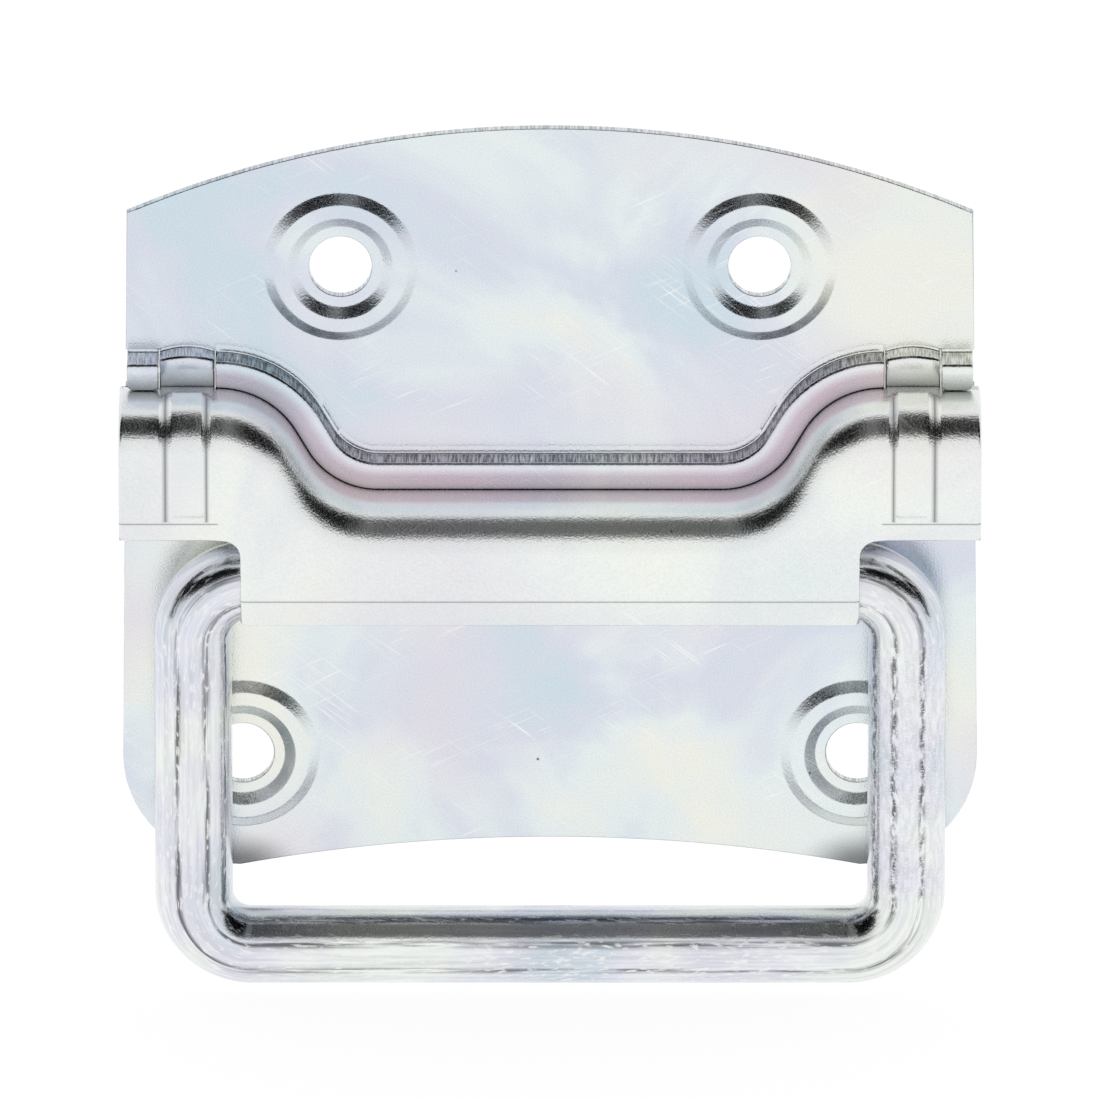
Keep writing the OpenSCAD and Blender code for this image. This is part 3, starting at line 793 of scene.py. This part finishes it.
painted_lines = add_node(tree, "ShaderNodeMath", {0: painted_lines, 1: unbroken}, operation="MULTIPLY").outputs[0]
painted_line_tone = add_node(tree, "ShaderNodeMapRange", {"Value": painted_lines, "To Min": 1.0, "To Max": 0.25})
colour = add_node(tree, "ShaderNodeMix", {"Factor": 1.0, "A": colour, "B": painted_line_tone.outputs["Result"]},
                  data_type="RGBA", blend_type="MULTIPLY").outputs["Result"]

# Scuffs lie nearly along the rod, over the painted lines.
scuff_mm = 0.32
scuff_length_mm = 1.3
scuff_place = add_node(tree, "ShaderNodeMapping", {
    "Vector": straight, "Rotation": (math.radians(8), 0.0, 0.0),
    "Scale": (scuff_mm * MM, scuff_mm * MM, scuff_length_mm * MM)}, vector_type="TEXTURE")
scuff = add_node(tree, "ShaderNodeTexNoise", {
    "Vector": scuff_place.outputs["Vector"], "Scale": 1.0, "Detail": 3.0})
scuff_share = add_node(tree, "ShaderNodeMapRange", {
    "Value": scuff.outputs["Fac"], "From Min": 0.55, "From Max": 0.65, "To Max": 0.8}).outputs["Result"]
colour = add_node(tree, "ShaderNodeMix", {"Factor": scuff_share, "A": colour, "B": linear("#F6F5F4")},
                  data_type="RGBA").outputs["Result"]
roughness = add_node(tree, "ShaderNodeMath", {
    0: scuff_share, 1: 0.25, 2: 0.17}, operation="MULTIPLY_ADD").outputs[0]
grain_mm = 0.2
grain = add_node(tree, "ShaderNodeTexNoise", {
    "Vector": place, "Scale": 1000 / grain_mm, "Detail": 3.0}).outputs["Fac"]
relief = add_node(tree, "ShaderNodeMath", {
    0: grain, 1: 0.9, 2: streaks}, operation="MULTIPLY_ADD").outputs[0]
groove_height_mm = 0.016
grooves = add_node(tree, "ShaderNodeBump", {
    "Height": relief, "Strength": 0.6, "Distance": groove_height_mm * MM})
surface = add_node(tree, "ShaderNodeBsdfPrincipled", {
    "Base Color": colour, "Metallic": 1.0, "Roughness": roughness, "Normal": grooves.outputs["Normal"]})
add_node(tree, "ShaderNodeOutputMaterial", {"Surface": surface.outputs["BSDF"]})

# The rod's shape is a rule: a rectangle with rounded corners, swept by a circle. Each point keeps its
# place on the rod as it was before bending, so that the streaks follow the bends.
rod_tree = bpy.data.node_groups.new("bent_rod", "GeometryNodeTree")
rod_sizes = {"Leg spacing": 2 * LEG_X, "Drop": BAIL_DROP, "Bend radius": BEND_R, "Rod radius": ROD_R,
             "Pivot height": PIVOT_Z, "Pivot depth": PIVOT_DEPTH}
rod_sockets = {name: rod_tree.interface.new_socket(name, in_out="INPUT", socket_type="NodeSocketFloat")
               for name in rod_sizes}
rod_tree.interface.new_socket("Rod", in_out="OUTPUT", socket_type="NodeSocketGeometry")
size = add_node(rod_tree, "NodeGroupInput").outputs
loop = add_node(rod_tree, "GeometryNodeCurvePrimitiveQuadrilateral", {
    "Width": size["Leg spacing"], "Height": size["Drop"]}, mode="RECTANGLE")
bend_steps = 20
bent = add_node(rod_tree, "GeometryNodeFilletCurve", {
    "Curve": loop.outputs["Curve"], "Count": bend_steps, "Radius": size["Bend radius"],
    "Limit Radius": True}, mode="POLY")
length = add_node(rod_tree, "GeometryNodeSplineParameter").outputs["Length"]
path = add_node(rod_tree, "GeometryNodeStoreNamedAttribute", {
    "Geometry": bent.outputs["Curve"], "Name": "along", "Value": length},
    data_type="FLOAT", domain="POINT")
rod_sides = 48
circle = add_node(rod_tree, "GeometryNodeCurvePrimitiveCircle", {
    "Resolution": rod_sides, "Radius": size["Rod radius"]}, mode="RADIUS")
factor = add_node(rod_tree, "GeometryNodeSplineParameter").outputs["Factor"]
turn = add_node(rod_tree, "ShaderNodeMath", {0: factor, 1: 2 * math.pi}, operation="MULTIPLY").outputs[0]
outline = add_node(rod_tree, "GeometryNodeStoreNamedAttribute", {
    "Geometry": circle.outputs["Curve"], "Name": "turn", "Value": turn},
    data_type="FLOAT", domain="POINT")
tube = add_node(rod_tree, "GeometryNodeCurveToMesh", {
    "Curve": path.outputs["Geometry"], "Profile Curve": outline.outputs["Geometry"]})
kept_turn, kept_along = [
    add_node(rod_tree, "GeometryNodeInputNamedAttribute", {"Name": name}, data_type="FLOAT").outputs[0]
    for name in ("turn", "along")]
across = []
for operation in ("COSINE", "SINE"):
    part = add_node(rod_tree, "ShaderNodeMath", {0: kept_turn}, operation=operation).outputs[0]
    across.append(add_node(rod_tree, "ShaderNodeMath", {0: part, 1: size["Rod radius"]},
                           operation="MULTIPLY").outputs[0])
straight_place = add_node(rod_tree, "ShaderNodeCombineXYZ", {0: across[0], 1: across[1], 2: kept_along})
marked = add_node(rod_tree, "GeometryNodeStoreNamedAttribute", {
    "Geometry": tube.outputs["Mesh"], "Name": "rod_place", "Value": straight_place.outputs[0]},
    data_type="FLOAT_VECTOR", domain="POINT")
forward = add_node(rod_tree, "ShaderNodeMath", {
    0: size["Pivot depth"], 1: -1.0}, operation="MULTIPLY").outputs[0]
middle = add_node(rod_tree, "ShaderNodeMath", {
    0: size["Drop"], 1: -0.5, 2: size["Pivot height"]}, operation="MULTIPLY_ADD").outputs[0]
hung = add_node(rod_tree, "ShaderNodeCombineXYZ", {1: forward, 2: middle}).outputs[0]
stood = add_node(rod_tree, "GeometryNodeTransform", {
    "Geometry": marked.outputs["Geometry"], "Translation": hung, "Rotation": (math.pi / 2, 0.0, 0.0)})
smoothed = add_node(rod_tree, "GeometryNodeSetShadeSmooth", {"Geometry": stood.outputs["Geometry"]})
whole = add_node(rod_tree, "GeometryNodeRealizeInstances", {"Geometry": smoothed.outputs["Geometry"]})
plated = add_node(rod_tree, "GeometryNodeSetMaterial", {
    "Geometry": whole.outputs["Geometry"], "Material": zinc_rod})
add_node(rod_tree, "NodeGroupOutput", {"Rod": plated.outputs["Geometry"]})

bail = bpy.data.objects.new("bent_rod_bail", bpy.data.meshes.new("bent_rod_bail_rough"))
scene.collection.objects.link(bail)
shaping = bail.modifiers.new("bent_rod", "NODES")
shaping.node_group = rod_tree
for name, value in rod_sizes.items():
    shaping[rod_sockets[name].identifier] = value * MM
ready = bail.evaluated_get(bpy.context.evaluated_depsgraph_get())
bail.data = bpy.data.meshes.new_from_object(ready)
bail.modifiers.clear()
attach(bail, "bail")
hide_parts("bail")

# Floor
# A sheet of white paper just below the hanging bail, which runs on past the view on all sides. To the
# camera and in reflections most of its white is its own, and the rest takes the handle's shadow.
FLOOR_HALF = 6.0
FLOOR_GAP = 0.2
OWN_WHITE_SHARE = 0.85
OWN_WHITE = 1.1
paper_z = cad_box[0].z - FLOOR_GAP * MM
floor_mesh = bpy.data.meshes.new("white_paper_floor")
floor_mesh.from_pydata(
    [(x * FLOOR_HALF, y * FLOOR_HALF, paper_z) for x, y in ((-1, -1), (1, -1), (1, 1), (-1, 1))],
    [], [(0, 1, 2, 3)])
floor = bpy.data.objects.new("white_paper_floor", floor_mesh)
scene.collection.objects.link(floor)
paper = bpy.data.materials.new("white_paper")
paper.use_nodes = True
tree = paper.node_tree
tree.nodes.clear()
ray = add_node(tree, "ShaderNodeLightPath")
seen = add_node(tree, "ShaderNodeMath", {
    0: ray.outputs["Is Camera Ray"], 1: ray.outputs["Is Glossy Ray"]}, operation="MAXIMUM")
seen = add_node(tree, "ShaderNodeMath", {
    0: seen.outputs[0], 1: ray.outputs["Is Transmission Ray"]}, operation="MAXIMUM")
share = add_node(tree, "ShaderNodeMath", {0: seen.outputs[0], 1: OWN_WHITE_SHARE}, operation="MULTIPLY")
matt = add_node(tree, "ShaderNodeBsdfDiffuse", {"Color": linear("#F4F4F4")})
glow = add_node(tree, "ShaderNodeEmission", {"Color": linear("#FFFFFF"), "Strength": OWN_WHITE})
mixed = add_node(tree, "ShaderNodeMixShader", {
    0: share.outputs[0], 1: matt.outputs[0], 2: glow.outputs[0]})
add_node(tree, "ShaderNodeOutputMaterial", {"Surface": mixed.outputs[0]})
floor_mesh.materials.append(paper)

# Studio
# White walls and ceiling, with a dark gap in front above the camera and a narrow dark card on either
# side, which draw dark lines along the bends, and a small soft lamp in the middle of the gap. Only the
# first reflection sees the gap, so that the insides of the folds stay light.
GAP_LOW = 0.58
GAP_FULL = 0.66
GAP_SIDE_DROP = 0.42
CARD_TURN = 78
CARD_HALF = 7
CARD_TONE = 0.05
LAMP_WIDTH = 0.055
LAMP_HEIGHT = 0.25
LAMP_TURN = math.radians(58)
LAMP_AWAY = 0.2
LAMP_TONE = 0.2
world = bpy.data.worlds.new("white_studio_with_dark_gap")
scene.world = world
world.use_nodes = True
tree = world.node_tree
tree.nodes.clear()
toward = add_node(tree, "ShaderNodeSeparateXYZ", {
    0: add_node(tree, "ShaderNodeTexCoord").outputs["Generated"]})
height = toward.outputs["Z"]
forward = add_node(tree, "ShaderNodeMath", {
    0: toward.outputs["Y"], 1: -1.0}, operation="MULTIPLY").outputs[0]
round_by = add_node(tree, "ShaderNodeMath", {
    0: toward.outputs["X"], 1: forward}, operation="ARCTAN2").outputs[0]
round_by = add_node(tree, "ShaderNodeMath", {0: round_by}, operation="ABSOLUTE").outputs[0]


def band(value, start, full, last, end):
    """1 between full and last, running out to 0 at start and end."""
    rise = add_node(tree, "ShaderNodeMapRange", {"Value": value, "From Min": start, "From Max": full},
                    interpolation_type="SMOOTHSTEP")
    fall = add_node(tree, "ShaderNodeMapRange", {"Value": value, "From Min": end, "From Max": last},
                    interpolation_type="SMOOTHSTEP")
    return add_node(tree, "ShaderNodeMath", {
        0: rise.outputs[0], 1: fall.outputs[0]}, operation="MULTIPLY").outputs[0]


def darkened(tone, first, second, least):
    """The tone taken down to a least share of itself where both masks are 1."""
    where = add_node(tree, "ShaderNodeMath", {0: first, 1: second}, operation="MULTIPLY").outputs[0]
    share = add_node(tree, "ShaderNodeMapRange", {
        "Value": where, "To Min": 1.0, "To Max": least}).outputs[0]
    return add_node(tree, "ShaderNodeMath", {0: tone, 1: share}, operation="MULTIPLY").outputs[0]


ray_depth = add_node(tree, "ShaderNodeLightPath").outputs["Ray Depth"]
direct = add_node(tree, "ShaderNodeMath", {0: ray_depth, 1: 2.5}, operation="LESS_THAN").outputs[0]
in_front = add_node(tree, "ShaderNodeMath", {
    0: band(forward, -0.06, 0.0, 1.1, 1.2), 1: direct}, operation="MULTIPLY").outputs[0]
sideways = add_node(tree, "ShaderNodeMath", {0: toward.outputs["X"]}, operation="ABSOLUTE").outputs[0]
above = add_node(tree, "ShaderNodeMath", {
    0: sideways, 1: GAP_SIDE_DROP, 2: height}, operation="MULTIPLY_ADD").outputs[0]
tone = darkened(1.0, band(above, GAP_LOW, GAP_FULL, 1.4, 1.5), in_front, 0.0)
side_card = band(round_by, *[math.radians(CARD_TURN + CARD_HALF * k) for k in (-1.3, -0.7, 0.7, 1.3)])
tone = darkened(tone, side_card, band(height, -0.15, -0.05, 0.5, 0.6), CARD_TONE)
light = add_node(tree, "ShaderNodeBackground", {"Color": tone, "Strength": 1.0})
add_node(tree, "ShaderNodeOutputWorld", {"Surface": light.outputs[0]})

lamp = bpy.data.lights.new("soft_lamp", "AREA")
lamp.shape = "RECTANGLE"
lamp.size = LAMP_WIDTH
lamp.size_y = LAMP_HEIGHT
lamp.energy = LAMP_TONE * math.pi * lamp.size * lamp.size_y
lamp_holder = bpy.data.objects.new("soft_lamp", lamp)
scene.collection.objects.link(lamp_holder)
lamp_way = Vector((0.0, -math.cos(LAMP_TURN), math.sin(LAMP_TURN)))
lamp_holder.location = LAMP_AWAY * lamp_way
lamp_holder.rotation_euler = lamp_way.to_track_quat("Z", "Y").to_euler()

# Camera
# Straight in front and 20 degrees above the handle, far off, so that upright lines stay parallel.
CAMERA_HEIGHT = math.radians(20)
CAMERA_AWAY = 2.5
VIEW_WIDTH = 112.82 * MM
camera = bpy.data.cameras.new("camera")
camera.sensor_width = 36.0
camera.lens = camera.sensor_width * CAMERA_AWAY / VIEW_WIDTH
camera.clip_end = 50.0
camera_holder = bpy.data.objects.new("camera", camera)
scene.collection.objects.link(camera_holder)
aim = Vector((0.0, -1.2 * MM, -4.31 * MM))
camera_way = Vector((0.0, -math.cos(CAMERA_HEIGHT), math.sin(CAMERA_HEIGHT)))
camera_holder.location = aim + CAMERA_AWAY * camera_way
camera_holder.rotation_euler = Euler((math.radians(90) - CAMERA_HEIGHT, 0.0, 0.0))
scene.camera = camera_holder
scene.view_settings.view_transform = "Standard"
